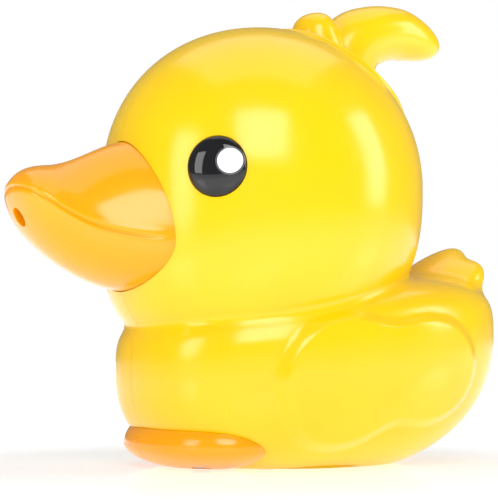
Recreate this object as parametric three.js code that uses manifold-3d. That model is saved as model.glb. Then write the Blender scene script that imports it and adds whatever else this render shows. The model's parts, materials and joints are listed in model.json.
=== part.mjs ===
// Floating chlorine dispenser in the form of a duck. Millimetres, +Z up.
// The duck faces -X and its left side faces -Y. The origin is on the surface it stands on,
// under the middle of its box. Everything is laid out from the head's vertical axis (x = 0 in
// the "duck" group), and that group is then moved along X to centre the box on the origin.
import * as THREE from "three";
import { mergeVertices } from "three/addons/utils/BufferGeometryUtils.js";
import Module from "manifold-3d";

const wasm = await Module();
wasm.setup();

// ---- driving dimensions -------------------------------------------------------------------
const WALL = 2.5; // moulded shell wall
const GAP = 0.3; // working gap between neighbouring pieces
const SKIN_GAP = 1.1; // gap of a round piece under the flat facets of the skin
const FRAME_X = 3.35; // moves the head axis so that the whole box is centred on the origin

const HEAD_R = 56.5;
const HEAD_Z = 96.5;
const CHEEK = 3.0; // roundness exponent of the head below its middle: 2 is a true sphere
const CHEEK_SLOPE = 0.875; // what the exponent gains towards the beak and loses towards the back
const CHEEK_CURVE = 0.325; // added at both ends
const FOREHEAD = 0.17; // added to the exponent above the middle, towards the beak

const BODY_X = 18.3;
const BODY_HALF = { x: 68.8, y: 52.5, up: 24 };
const BODY_MID_Z = 40; // height of the widest line, under the middle of the body
const BODY_RISE = 0.1; // slope of the widest line towards the tail
const BODY_KEEL = 4; // how far the body's oval would reach under the ground plane
const BODY_ROUND = { plan: 2.3, up: 3.3, down: 2.45, downSlope: 0.3 };

const WING_PROUD = 2.0;
const WING_INNER_Y = 20;

const BEAK = { rootX: -46, tipX: -93.8, wall: 2.2, flange: 3 };
const NOZZLE = { x: -91.8, z: 82.5, pitch: 30, bore: 3.5, outer: 5.2, depth: 9 };

const LID_TILT = 37; // degrees back from vertical
const LID_R = 30;
const LID_PROUD = 1.0;
const SKIRT = { outer: 26.6, inner: 24.6, low: 37 };
const COLLAR = { bore: 27.2, outer: 29.8, low: 28, top: 43.8 };
const CREST_SCREW_U = [-9, 8]; // across the lid, along the crest
const LUG = { outer: 28.1, groove: 28.5, low: 37.2, high: 39.6, halfAngle: 8, turn: 40, count: 3 };

const WELL_X = 10;
const WELL = { inner: 26.4, outer: 28.4, top: 60, flangeR: 33, flangeLow: 7.7, flangeTop: 12.5 };
const CHUTE = { outer: 26, wall: 2, bendR: 40, low: 52, top: 32.7, portZ: 86 };
const BASKET = { outer: 25.9, wall: 1.8, low: 13.2, top: 48, slots: 8, slotWidth: 5 };
const BALLAST = { inner: 28.9, outer: 38, low: 12.9, high: 20 };

const BASE = { r: 30, thick: 3.5, webR: 22.4, webLow: 3.4, webTop: 5.6, pocketR: 19.9 };
const BASE_OPENING_R = 23.6;
const BASE_PAD = { r: 34, top: 6.3 };
const DIAL = { r: 19.5, low: 0.6, high: 3.1, slotInner: 8, slotOuter: 17, slotAngle: 36, slots: 4 };
const BASE_SCREW_R = 26.7;

const EYE_R = 9.9;
const EYE_HEADING = 46; // degrees round from the beak
const EYE_Z = 98.8;

const FOOT = { x: -23.5, z: 5.5, half: [23.5, 36, 12.5] };
const FOOT_SCREW = { x: -31.5, y: 15, headBore: 3.2, clearance: 1.9 };

// shell screws run along Y through bosses on the joint plane: [x, z]
const SHELL_BOSSES = [[-37, 28], [66, 40], [43, 84], [-38, 126], [-31, 62]];

// ---- colours ------------------------------------------------------------------------------
const YELLOW = 0xf9d71c;
const ORANGE = 0xfcaa0a;
const BLACK = 0x0c0c0e;
const WHITE = 0xe9e9e4;
const GREY = 0x6f757b;
const STEEL = 0xb9bcc0;
const SILICONE = 0xd8dde0;

// ---- helpers ------------------------------------------------------------------------------
const radians = THREE.MathUtils.degToRad;

function material(color, roughness, metalness = 0) {
  return new THREE.MeshStandardMaterial({ color, roughness, metalness });
}

// a closed geometry as a manifold solid with its faces pointing out
function solid(geometry) {
  const bare = geometry.clone();
  for (const name of Object.keys(bare.attributes)) {
    if (name !== "position") bare.deleteAttribute(name);
  }
  const merged = mergeVertices(bare, 1e-4);
  const position = merged.attributes.position;
  const index = merged.index.array;
  const triangles = [];
  let volume = 0;
  const corners = [new THREE.Vector3(), new THREE.Vector3(), new THREE.Vector3()];
  for (let i = 0; i < index.length; i += 3) {
    const [a, b, c] = [index[i], index[i + 1], index[i + 2]];
    if (a === b || b === c || c === a) continue;
    triangles.push(a, b, c);
    [a, b, c].forEach((vertex, k) => corners[k].fromBufferAttribute(position, vertex));
    volume += corners[0].dot(corners[1].cross(corners[2]));
  }
  if (volume < 0) triangles.reverse();
  const mesh = new wasm.Mesh({
    numProp: 3,
    vertProperties: new Float32Array(position.array),
    triVerts: new Uint32Array(triangles),
  });
  return new wasm.Manifold(mesh);
}

function geometryOf(shape) {
  const mesh = shape.getMesh();
  const geometry = new THREE.BufferGeometry();
  geometry.setAttribute("position", new THREE.BufferAttribute(mesh.vertProperties, 3));
  geometry.setIndex(new THREE.BufferAttribute(mesh.triVerts, 1));
  geometry.computeVertexNormals();
  return geometry;
}

function place(geometry, matrix) {
  return geometry.clone().applyMatrix4(matrix);
}

// a solid turned round Z from [radius, height] corners that close on themselves or on the axis
function turned(corners, segments = 24) {
  const points = corners.map(([radius, height]) => new THREE.Vector2(radius, height));
  if (corners[0][0] > 0 || corners.at(-1)[0] > 0) points.push(points[0].clone());
  return new THREE.LatheGeometry(points, segments).rotateX(Math.PI / 2);
}

// corners along a circular arc of the given radius about the axis origin, between two radii
function arcCorners(sphereR, fromR, toR, steps) {
  const corners = [];
  for (let i = 0; i <= steps; i += 1) {
    const start = Math.asin(fromR / sphereR);
    const end = Math.asin(toR / sphereR);
    const angle = start + ((end - start) * i) / steps;
    corners.push([sphereR * Math.sin(angle), sphereR * Math.cos(angle)]);
  }
  return corners;
}

function rod(radius, low, high, segments = 8) {
  return turned([[0, low], [radius, low], [radius, high], [0, high]], segments);
}

// a rod along Y between two y values at (x, z)
function crossRod(radius, x, z, fromY, toY, segments = 8) {
  const along = rod(radius, -Math.max(fromY, toY), -Math.min(fromY, toY), segments);
  return along.rotateX(Math.PI / 2).translate(x, 0, z);
}

function block(x0, x1, y0, y1, z0, z1) {
  const box = new THREE.BoxGeometry(x1 - x0, y1 - y0, z1 - z0);
  return box.translate((x0 + x1) / 2, (y0 + y1) / 2, (z0 + z1) / 2);
}

// a ring sector between two radii and two angles (degrees), standing from low to high
function sector(inner, outer, startAngle, endAngle, low, high, steps = 2) {
  const shape = new THREE.Shape();
  shape.absarc(0, 0, outer, radians(startAngle), radians(endAngle), false);
  shape.absarc(0, 0, inner, radians(endAngle), radians(startAngle), true);
  shape.closePath();
  const options = { depth: high - low, bevelEnabled: false, curveSegments: steps };
  return new THREE.ExtrudeGeometry(shape, options).translate(0, 0, low);
}

// a closed surface from a grid: point(u, v) wraps round in u and comes together at v = 0 and 1
function wrapped(point, around, along) {
  const sphere = new THREE.SphereGeometry(1, around, along);
  const position = sphere.attributes.position;
  const columns = around + 1;
  for (let i = 0; i < position.count; i += 1) {
    const column = i % columns;
    const row = Math.floor(i / columns);
    const u = column === around ? 0 : column / around;
    const target = point(u, row / along);
    position.setXYZ(i, target.x, target.y, target.z);
  }
  return sphere;
}

function unionAll(solids) {
  return solids.reduce((sum, next) => sum.add(next));
}

function subtractAll(from, tools) {
  return tools.reduce((left, tool) => left.subtract(tool), from);
}

// ---- the duck's outer form ----------------------------------------------------------------
// every form takes an offset: 0 is the outside, -WALL the inside of the wall
function headPoint(heading, pitch, offset) {
  const forward = -Math.cos(heading);
  const lower = CHEEK + CHEEK_SLOPE * forward + CHEEK_CURVE * forward ** 2;
  const upper = 2 + FOREHEAD * ((1 + forward) / 2) ** 2;
  const roundness = pitch < 0 ? lower : upper;
  const across = Math.abs(Math.cos(pitch));
  const up = Math.abs(Math.sin(pitch));
  const reach = (HEAD_R + offset) * (across ** roundness + up ** roundness) ** (-1 / roundness);
  const x = reach * across * Math.cos(heading);
  const y = reach * across * Math.sin(heading);
  return new THREE.Vector3(x, y, HEAD_Z + reach * Math.sin(pitch));
}

function headForm(offset, around = 32, along = 16) {
  const point = (u, v) => headPoint(2 * Math.PI * u, Math.PI * (0.5 - v), offset);
  return solid(wrapped(point, around, along));
}

function bodyPoint(heading, pitch, offset) {
  const { plan, up, down, downSlope } = BODY_ROUND;
  const flat = Math.abs(Math.cos(pitch));
  const cosine = Math.abs(Math.cos(heading));
  const sine = Math.abs(Math.sin(heading));
  const ring = flat * (cosine ** plan + sine ** plan) ** (1 / plan);
  const rise = Math.abs(Math.sin(pitch));
  const roundness = pitch < 0 ? down - downSlope * Math.cos(heading) : up;
  const scale = (ring ** roundness + rise ** roundness) ** (-1 / roundness);
  const x = (BODY_HALF.x + offset) * scale * flat * Math.cos(heading);
  const y = (BODY_HALF.y + offset) * scale * flat * Math.sin(heading);
  const middle = BODY_MID_Z + BODY_RISE * x;
  const depth = (pitch < 0 ? middle + BODY_KEEL : BODY_HALF.up) + offset;
  return new THREE.Vector3(BODY_X + x, y, middle + depth * scale * Math.sin(pitch));
}

function bodyForm(offset, around = 32, along = 14) {
  const point = (u, v) => bodyPoint(2 * Math.PI * u, Math.PI * (0.5 - v), offset);
  return solid(wrapped(point, around, along));
}

// one tail feather: an oval pointing up and back
function feather(root, tip, width, thickness) {
  const from = new THREE.Vector3(...root);
  const to = new THREE.Vector3(...tip);
  const length = from.distanceTo(to) / 2;
  const oval = new THREE.SphereGeometry(1, 10, 7).scale(thickness, width, length);
  const turn = new THREE.Quaternion();
  turn.setFromUnitVectors(new THREE.Vector3(0, 0, 1), to.clone().sub(from).normalize());
  const middle = from.add(to).multiplyScalar(0.5);
  const unit = new THREE.Vector3(1, 1, 1);
  return solid(oval.applyMatrix4(new THREE.Matrix4().compose(middle, turn, unit)));
}

function tailForm() {
  const feathers = [feather([50, 0, 44], [84.5, 0, 77], 11, 8)];
  for (const side of [-1, 1]) feathers.push(feather([50, side * 8, 40], [83, side * 15.5, 71], 11, 8));
  return unionAll(feathers);
}

function wingForm() {
  const edge = [[-17, 41], [-2, 51], [17, 53.5], [40, 50.5], [57, 46.5], [63, 38], [56, 25],
    [40, 13], [12, 6.5], [-11, 12], [-24, 27]];
  const outline = new THREE.Shape();
  const curve = new THREE.CatmullRomCurve3(edge.map(([x, z]) => new THREE.Vector3(x, z, 0)), true);
  outline.setFromPoints(curve.getPoints(20).slice(0, -1).map((p) => new THREE.Vector2(p.x, p.y)));
  const reach = BODY_HALF.y + 10;
  const options = { depth: reach - WING_INNER_Y, bevelEnabled: false };
  const slab = new THREE.ExtrudeGeometry(outline, options).rotateX(Math.PI / 2);
  const raised = bodyForm(WING_PROUD);
  const near = solid(slab.clone().translate(0, -WING_INNER_Y, 0)).intersect(raised);
  const far = solid(slab.clone().translate(0, reach, 0)).intersect(raised);
  return near.add(far);
}

const OUTER = unionAll([headForm(0), bodyForm(0), tailForm(), wingForm()])
  .subtract(solid(block(-200, 200, -200, 200, -50, 0)));
const INNER = headForm(-WALL, 24, 12).add(bodyForm(-WALL, 24, 10));

// ---- beak ---------------------------------------------------------------------------------
// half width, mouth height, top and bottom of the bill at q, 0 at its root and 1 at its tip
function billSection(q, offset) {
  const { lerp, smoothstep } = THREE.MathUtils;
  const tipWidth = Math.sqrt(Math.max(0, 1 - q ** 10));
  const tipHeight = Math.sqrt(Math.max(0, 1 - q ** 12));
  const width = lerp(31, 18.5, smoothstep(q, -0.2, 0.75)) * tipWidth;
  const mouth = 76 + 17 * q ** 2.3;
  const top = 101 + 9.5 * (1 - smoothstep(q, 0.1, 0.75));
  const bottom = 59 + 24 * q ** 2.1;
  return {
    width: Math.max(0, width + offset),
    mouth,
    up: Math.max(0, (top - mouth) * tipHeight + offset),
    down: Math.max(0, (mouth - bottom) * tipHeight + offset),
  };
}

function billForm(offset, backX, around = 24, along = 15) {
  const tipX = BEAK.tipX - offset;
  const point = (u, v) => {
    const station = Math.min(1, Math.max(0, (v * along - 1) / (along - 2)));
    const x = backX + (tipX - backX) * Math.sin((station * Math.PI) / 2);
    const q = Math.max(0, (x - BEAK.rootX) / (tipX - BEAK.rootX));
    const { width, mouth, up, down } = billSection(Math.min(1, q), offset);
    const closed = v === 0 || v === 1;
    const angle = -2 * Math.PI * u;
    const sine = Math.sin(angle);
    const y = closed ? 0 : width * Math.cos(angle);
    const z = closed ? mouth : mouth + (sine > 0 ? up : down) * sine;
    return new THREE.Vector3(x, y, z);
  };
  return solid(wrapped(point, around, along));
}

// a matrix that stands a piece made along Z on the bore of the nozzle, pointing out of the tip
function nozzleMatrix() {
  const out = new THREE.Vector3(-Math.cos(radians(NOZZLE.pitch)), 0, -Math.sin(radians(NOZZLE.pitch)));
  const turn = new THREE.Quaternion().setFromUnitVectors(new THREE.Vector3(0, 0, 1), out);
  const at = new THREE.Vector3(NOZZLE.x, 0, NOZZLE.z);
  return new THREE.Matrix4().compose(at, turn, new THREE.Vector3(1, 1, 1));
}

function makeBeak() {
  const backX = -36;
  const outside = billForm(0, backX);
  const behindSkin = headForm(-WALL - GAP, 24, 12);
  const innerFace = headForm(-WALL - GAP - 2, 24, 12);
  const flange = billForm(BEAK.flange, backX).intersect(behindSkin);
  const hollow = billForm(-BEAK.wall, -30, 20, 11);
  const boss = solid(place(rod(NOZZLE.outer, -NOZZLE.depth, 3, 20), nozzleMatrix()));
  const bore = solid(place(rod(NOZZLE.bore, -NOZZLE.depth - 4, 12, 20), nozzleMatrix()));
  const shell = outside.add(flange).subtract(innerFace).subtract(hollow);
  return shell.add(boss.intersect(outside)).subtract(bore);
}

// ---- half shells --------------------------------------------------------------------------
const LID_FRAME = new THREE.Matrix4()
  .makeRotationY(radians(LID_TILT))
  .setPosition(0, 0, HEAD_Z);

function eyeMatrix(side) {
  const pitch = Math.asin((EYE_Z - HEAD_Z) / HEAD_R);
  const heading = radians(180 - side * EYE_HEADING);
  const out = new THREE.Vector3(
    Math.cos(pitch) * Math.cos(heading),
    Math.cos(pitch) * Math.sin(heading),
    Math.sin(pitch),
  );
  const turn = new THREE.Quaternion().setFromUnitVectors(new THREE.Vector3(0, 0, 1), out);
  const centre = new THREE.Vector3(0, 0, HEAD_Z);
  return new THREE.Matrix4().compose(centre, turn, new THREE.Vector3(1, 1, 1));
}

function baseScrewPlaces() {
  return [45, 135, 225, 315].map((angle) => [
    WELL_X + BASE_SCREW_R * Math.cos(radians(angle)),
    BASE_SCREW_R * Math.sin(radians(angle)),
  ]);
}

// everything that is cut out of both half shells, and the bosses that are left standing in them
function shellWithOpenings() {
  const pad = solid(rod(BASE_PAD.r, -5, BASE_PAD.top, 24).translate(WELL_X, 0, 0));
  let shell = OUTER.subtract(INNER.subtract(pad));
  const bosses = SHELL_BOSSES.map(([x, z]) => solid(crossRod(4.5, x, z, -80, 80)).intersect(OUTER));
  const footPosts = [-1, 1].map((side) => {
    const post = rod(4, 3, 12.4).translate(FOOT_SCREW.x, side * FOOT_SCREW.y, 0);
    return solid(post).intersect(OUTER);
  });
  shell = unionAll([shell, ...bosses, ...footPosts]);
  const cuts = [
    rod(BASE.r + GAP, -5, BASE.thick + GAP, 24).translate(WELL_X, 0, 0),
    rod(BASE_OPENING_R, -5, 30, 24).translate(WELL_X, 0, 0),
    place(rod(LID_R + GAP, COLLAR.low, 70, 32), LID_FRAME),
  ];
  for (const side of [-1, 1]) {
    cuts.push(place(rod(3.6, 40, 70), eyeMatrix(side)));
    const seat = [...arcCorners(HEAD_R - 1.3, 0, EYE_R + GAP, 3), [EYE_R + GAP, 70], [0, 70]];
    cuts.push(place(turned(seat, 20), eyeMatrix(side)));
    cuts.push(rod(1.4, -5, 11.7).translate(FOOT_SCREW.x, side * FOOT_SCREW.y, 0));
  }
  for (const [x, y] of baseScrewPlaces()) cuts.push(rod(1.9, -5, 12).translate(x, y, 0));
  const beakHole = billForm(0.5, -37);
  return subtractAll(shell, [...cuts.map(solid), beakHole]);
}

function makeShells() {
  const shell = shellWithOpenings();
  const rightHalf = solid(block(-200, 200, GAP / 2, 200, -50, 250));
  const leftHalf = solid(block(-200, 200, -200, -GAP / 2, -50, 250));
  const rightBores = SHELL_BOSSES.flatMap(([x, z]) => [
    solid(crossRod(3.6, x, z, 6, 90)),
    solid(crossRod(1.7, x, z, -1, 8)),
  ]);
  const leftBores = SHELL_BOSSES.map(([x, z]) => solid(crossRod(1.3, x, z, -11, 1)));
  return {
    left: subtractAll(shell.intersect(leftHalf), leftBores),
    right: subtractAll(shell.intersect(rightHalf), rightBores),
  };
}

// ---- feet ---------------------------------------------------------------------------------
function makeFoot(side) {
  const oval = new THREE.SphereGeometry(1, 24, 12).scale(...FOOT.half);
  oval.translate(FOOT.x, 0, FOOT.z);
  const own = side < 0 ? [-80, -GAP / 2] : [GAP / 2, 80];
  const keep = solid(block(-80, 40, ...own, 0, 40));
  const tools = [
    bodyForm(GAP),
    solid(rod(BASE.r + 2 * GAP, -5, 10, 40).translate(WELL_X, 0, 0)),
    solid(rod(FOOT_SCREW.clearance, -5, 30).translate(FOOT_SCREW.x, side * FOOT_SCREW.y, 0)),
    solid(rod(FOOT_SCREW.headBore, -5, 2.6).translate(FOOT_SCREW.x, side * FOOT_SCREW.y, 0)),
  ];
  return subtractAll(solid(oval).intersect(keep), tools);
}

// ---- eyes ---------------------------------------------------------------------------------
function makeEye() {
  const domeSteps = 4;
  const top = HEAD_R + 2.4;
  const rim = Math.sqrt(HEAD_R ** 2 - EYE_R ** 2) + 0.2;
  const corners = [];
  for (let i = 0; i <= domeSteps; i += 1) {
    const angle = (Math.PI / 2) * (i / domeSteps);
    corners.push([EYE_R * Math.sin(angle), rim + (top - rim) * Math.cos(angle)]);
  }
  const seat = arcCorners(HEAD_R - 0.8, EYE_R, 3, 1);
  return solid(turned([...corners, ...seat, [3, 45], [0, 45]], 20));
}

function makeEyeClip() {
  return solid(turned([[3.4, 51], [6.5, 51], [6.5, 52], [3.4, 52]], 14));
}

// ---- filler: lid, crest, gasket, collar (made about Z, then tilted) ------------------------
function makeLid() {
  const outerR = HEAD_R + LID_PROUD;
  const innerR = HEAD_R - 1.8;
  const underRim = 45.2;
  const corners = [
    ...arcCorners(outerR, 0, LID_R, 4),
    [LID_R, underRim],
    [SKIRT.outer, underRim],
    [SKIRT.outer, SKIRT.low],
    [SKIRT.inner, SKIRT.low],
    ...arcCorners(innerR, SKIRT.inner, 0, 2),
  ];
  const lugs = [];
  for (let i = 0; i < LUG.count; i += 1) {
    const middle = (360 / LUG.count) * i;
    const from = middle - LUG.halfAngle;
    const to = middle + LUG.halfAngle;
    lugs.push(solid(sector(SKIRT.outer - 1, LUG.outer, from, to, LUG.low, LUG.high, 3)));
  }
  const lid = unionAll([solid(turned(corners, 32)), ...lugs]);
  const holes = CREST_SCREW_U.map((u) => solid(rod(1.7, 40, 70).translate(u, 0, 0)));
  return subtractAll(lid, holes);
}

// a horn swept along an arc in the XZ plane: stations are [x, z, half thickness, half width]
function hornForm(stations, around = 16, along = 12) {
  const path = new THREE.CatmullRomCurve3(stations.map(([x, z]) => new THREE.Vector3(x, 0, z)));
  const sizes = new THREE.CatmullRomCurve3(
    stations.map(([, , thick, wide]) => new THREE.Vector3(thick, wide, 0)),
  );
  const point = (u, v) => {
    const t = 0.5 - 0.5 * Math.cos(Math.PI * v);
    const centre = path.getPoint(t);
    const ahead = path.getTangent(t);
    const size = sizes.getPoint(t);
    const cap = Math.sqrt(Math.max(0, 1 - (2 * t - 1) ** 8));
    const angle = 2 * Math.PI * u;
    const normal = new THREE.Vector3(-ahead.z, 0, ahead.x);
    const out = normal.multiplyScalar(size.x * cap * Math.cos(angle));
    out.y = size.y * cap * Math.sin(angle);
    return centre.add(out);
  };
  return solid(wrapped(point, around, along));
}

// the crest is laid out in the duck's own frame, then brought into the lid's frame
function makeCrest() {
  const front = hornForm([
    [31, 132, 9, 9], [27, 142, 10, 10], [22.5, 150, 9, 10.5], [20.8, 161.3, 6.5, 8.5],
  ]);
  const rear = hornForm([
    [31, 124, 12, 9], [33, 142, 12.5, 11], [37.5, 151, 11.9, 11.5], [45, 155, 10.9, 11.5],
    [53, 156.6, 9.9, 11], [60.5, 156, 9.1, 10], [75, 152, 6.5, 8],
  ]);
  const toLid = LID_FRAME.clone().invert();
  const crest = solid(geometryOf(front.add(rear)).applyMatrix4(toLid));
  const lidTop = solid(new THREE.SphereGeometry(HEAD_R + LID_PROUD + 0.5, 40, 24));
  const bores = CREST_SCREW_U.map((u) => solid(rod(1.5, 50, 66).translate(u, 0, 0)));
  return subtractAll(crest.subtract(lidTop), bores);
}

function makeCrestScrew(u) {
  const corners = [[0, 51], [3, 51], [3, 52.6], [1.1, 52.6], [1.1, 65], [0, 65]];
  return solid(turned(corners, 10).translate(u, 0, 0));
}

function makeLidGasket() {
  return solid(turned([[27.5, 44.1], [29.6, 44.1], [29.6, 44.9], [27.5, 44.9]], 32));
}

function makeCollar() {
  const flangeR = 38;
  const corners = [
    [CHUTE.outer + 0.7, COLLAR.low],
    [COLLAR.outer, COLLAR.low],
    ...arcCorners(HEAD_R - WALL - SKIN_GAP - 2, COLLAR.outer, flangeR, 2),
    ...arcCorners(HEAD_R - WALL - SKIN_GAP, flangeR, COLLAR.outer + 0.5, 3),
    [COLLAR.outer, COLLAR.top],
    [COLLAR.bore, COLLAR.top],
    [COLLAR.bore, 35],
    [CHUTE.outer - CHUTE.wall, 35],
    [CHUTE.outer - CHUTE.wall, 33],
    [CHUTE.outer + 0.7, 33],
  ];
  const grooves = [];
  for (let i = 0; i < LUG.count; i += 1) {
    const from = (360 / LUG.count) * i - LUG.halfAngle - 2;
    const to = from + 2 * LUG.halfAngle + LUG.turn + 4;
    const slotFrom = to - 2 * LUG.halfAngle - 4;
    grooves.push(sector(26, LUG.groove, from, to, LUG.low - 0.5, LUG.high + 0.4, 4));
    grooves.push(sector(26, LUG.groove, slotFrom, to, LUG.low - 0.5, COLLAR.top + 2, 2));
  }
  return subtractAll(solid(turned(corners, 28)), grooves.map(solid));
}

// ---- chute, well, basket, ballast -----------------------------------------------------------
function chutePath() {
  const tilt = radians(LID_TILT);
  const down = new THREE.Vector3(-Math.sin(tilt), 0, -Math.cos(tilt));
  const start = down.clone().multiplyScalar(-CHUTE.top).add(new THREE.Vector3(0, 0, HEAD_Z));
  const bendShift = CHUTE.bendR * (1 - Math.cos(tilt));
  const straight = (start.x - bendShift - WELL_X) / Math.sin(tilt);
  const bendStart = start.clone().addScaledVector(down, straight);
  const bendZ = bendStart.z - CHUTE.bendR * Math.sin(tilt);
  const bend = [];
  const bendSteps = 4;
  for (let i = 0; i <= bendSteps; i += 1) {
    const angle = tilt * (1 - i / bendSteps);
    const x = WELL_X + CHUTE.bendR * (1 - Math.cos(angle));
    bend.push(new THREE.Vector3(x, 0, bendZ + CHUTE.bendR * Math.sin(angle)));
  }
  return [start, ...bend, new THREE.Vector3(WELL_X, 0, CHUTE.low)];
}

// a round bar that follows points in the XZ plane, each ring square to the path
function bentBar(points, radius, around = 24) {
  const last = points.length - 1;
  const rows = points.length + 1;
  const point = (u, v) => {
    const row = Math.round(v * rows);
    const i = Math.min(last, Math.max(0, row - 1));
    const before = points[Math.max(0, i - 1)];
    const after = points[Math.min(last, i + 1)];
    const ahead = after.clone().sub(before).normalize();
    const reach = row === 0 || row === rows ? 0 : radius;
    const angle = 2 * Math.PI * u;
    const side = new THREE.Vector3(-ahead.z, 0, ahead.x).multiplyScalar(reach * Math.cos(angle));
    side.y = reach * Math.sin(angle);
    return points[i].clone().add(side);
  };
  return solid(wrapped(point, around, rows));
}

function makeChute() {
  const points = chutePath();
  const outside = bentBar(points, CHUTE.outer);
  const first = points[0].clone().multiplyScalar(2).sub(points[1]);
  const beyond = points.at(-1).clone().setZ(CHUTE.low - 5);
  const inside = bentBar([first, ...points.slice(1, -1), beyond], CHUTE.outer - CHUTE.wall);
  const port = solid(rod(3.8, 0, 40).rotateY(-Math.PI / 2).translate(WELL_X, 0, CHUTE.portZ));
  return outside.subtract(inside).subtract(port);
}

function makeWell() {
  const { inner, outer, top, flangeR, flangeLow, flangeTop } = WELL;
  const ledge = 23.6;
  const corners = [[ledge, flangeLow], [flangeR, flangeLow], [flangeR, flangeTop], [outer, flangeTop],
    [outer, top], [inner, top], [inner, BASKET.low - GAP], [ledge, BASKET.low - GAP]];
  const well = solid(turned(corners).translate(WELL_X, 0, 0));
  const bores = baseScrewPlaces().map(([x, y]) => solid(rod(1.3, 0, 12).translate(x, y, 0)));
  return subtractAll(well, bores);
}

function makeBasket() {
  const { outer, wall, low, top, slots, slotWidth } = BASKET;
  const cup = solid(turned([[0, low], [outer, low], [outer, top], [outer - wall, top],
    [outer - wall, low + 1.6], [0, low + 1.6]]));
  const cuts = [];
  for (let i = 0; i < slots; i += 1) {
    const angle = radians((360 / slots) * (i + 0.5));
    const side = block(outer - 6, outer + 6, -slotWidth / 2, slotWidth / 2, low + 4, top - 6);
    cuts.push(side.rotateZ(angle));
  }
  for (let i = 0; i < DIAL.slots; i += 1) {
    const middle = (360 / DIAL.slots) * i;
    cuts.push(sector(DIAL.slotInner, DIAL.slotOuter + 3, middle - 20, middle + 20, low - 2, low + 4));
  }
  const basket = subtractAll(cup, cuts.map(solid));
  return basket.translate([WELL_X, 0, 0]);
}

function makeBallast() {
  const { inner, outer, low, high } = BALLAST;
  return solid(turned([[inner, low], [outer, low], [outer, high], [inner, high]]).translate(WELL_X, 0, 0));
}

function makeVentTube() {
  const stops = [
    [-86.2, 85.7], [-80, 88.6], [-70, 90.5], [-50, 88.5], [-32, CHUTE.portZ], [-15, CHUTE.portZ],
  ];
  const path = new THREE.CatmullRomCurve3(stops.map(([x, z]) => new THREE.Vector3(x, 0, z)));
  const ring = new THREE.Shape().absarc(0, 0, 3, 0, 2 * Math.PI, false);
  ring.holes.push(new THREE.Path().absarc(0, 0, 2, 0, 2 * Math.PI, true));
  const options = { steps: 14, extrudePath: path, curveSegments: 3 };
  return solid(new THREE.ExtrudeGeometry(ring, options));
}

// ---- base plate and vent dial -----------------------------------------------------------------
function ventSlots(low, high) {
  const slots = [];
  for (let i = 0; i < DIAL.slots; i += 1) {
    const middle = (360 / DIAL.slots) * i;
    const half = DIAL.slotAngle / 2;
    slots.push(solid(sector(DIAL.slotInner, DIAL.slotOuter, middle - half, middle + half, low, high)));
  }
  return slots;
}

function makeBasePlate() {
  const { r, thick, webR, webLow, webTop, pocketR } = BASE;
  const boss = { r: 4.5, top: 9, bore: 1.4 };
  const corners = [[boss.bore, webLow], [pocketR, webLow], [pocketR, 0], [r, 0], [r, thick],
    [webR, thick], [webR, webTop], [boss.r, webTop], [boss.r, boss.top], [boss.bore, boss.top]];
  const holes = baseScrewPlaces().flatMap(([x, y]) => [
    solid(rod(1.9, -5, 12).translate(x - WELL_X, y, 0)),
    solid(rod(3.2, -5, 2.5).translate(x - WELL_X, y, 0)),
  ]);
  return subtractAll(solid(turned(corners)), [...ventSlots(-2, 8), ...holes]);
}

function makeDial() {
  const { r, low, high } = DIAL;
  const corners = [[1.5, 1.9], [4.8, 1.9], [4.8, low], [r, low], [r, high], [1.5, high]];
  return subtractAll(solid(turned(corners)), ventSlots(-2, 8));
}

function makeBaseGasket() {
  return solid(turned([[29.2, 6.6], [31.3, 6.6], [31.3, 7.4], [29.2, 7.4]]));
}

// ---- screws -------------------------------------------------------------------------------
// a screw standing on its head: head from headLow to headTop, shank up to tip
function screw(headR, shankR, headLow, headTop, tip) {
  const corners = [[0, headLow], [headR, headLow], [headR, headTop], [shankR, headTop],
    [shankR, tip], [0, tip]];
  return turned(corners, 8);
}

function shellScrew([x, z]) {
  return solid(screw(3, 1.1, -8.6, -6.3, 9).rotateX(Math.PI / 2).translate(x, 0, z));
}

// ---- assembly -----------------------------------------------------------------------------
const duck = new THREE.Group();
duck.position.x = FRAME_X;
const filler = new THREE.Group();
filler.position.z = HEAD_Z;
filler.rotation.y = radians(LID_TILT);
const base = new THREE.Group();
base.position.x = WELL_X;
duck.add(filler, base);

function addPiece(name, shape, finish, parent = duck) {
  const mesh = new THREE.Mesh(geometryOf(shape), finish);
  mesh.name = name;
  parent.add(mesh);
  return mesh;
}

const shells = makeShells();
addPiece("left_shell", shells.left, material(YELLOW, 0.15));
addPiece("right_shell", shells.right, material(YELLOW, 0.15));
addPiece("beak", makeBeak(), material(ORANGE, 0.18));
for (const [name, side] of [["left", -1], ["right", 1]]) {
  addPiece(`${name}_foot`, makeFoot(side), material(ORANGE, 0.2));
  const footScrew = screw(2.9, 1.1, 0.7, 2.3, 11.3).translate(FOOT_SCREW.x, side * FOOT_SCREW.y, 0);
  addPiece(`${name}_foot_screw`, solid(footScrew), material(STEEL, 0.35, 1));
  for (const [part, shape, finish] of [
    ["eye", makeEye(), material(BLACK, 0.08)],
    ["eye_clip", makeEyeClip(), material(STEEL, 0.35, 1)],
  ]) {
    const mesh = addPiece(`${name}_${part}`, shape, finish);
    eyeMatrix(side).decompose(mesh.position, mesh.quaternion, mesh.scale);
  }
}

addPiece("lid", makeLid(), material(YELLOW, 0.15), filler);
addPiece("crest", makeCrest(), material(YELLOW, 0.15), filler);
CREST_SCREW_U.forEach((u, i) => {
  addPiece(`crest_screw_${i + 1}`, makeCrestScrew(u), material(STEEL, 0.35, 1), filler);
});
addPiece("lid_gasket", makeLidGasket(), material(SILICONE, 0.6), filler);
addPiece("filler_collar", makeCollar(), material(WHITE, 0.4), filler);

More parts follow.
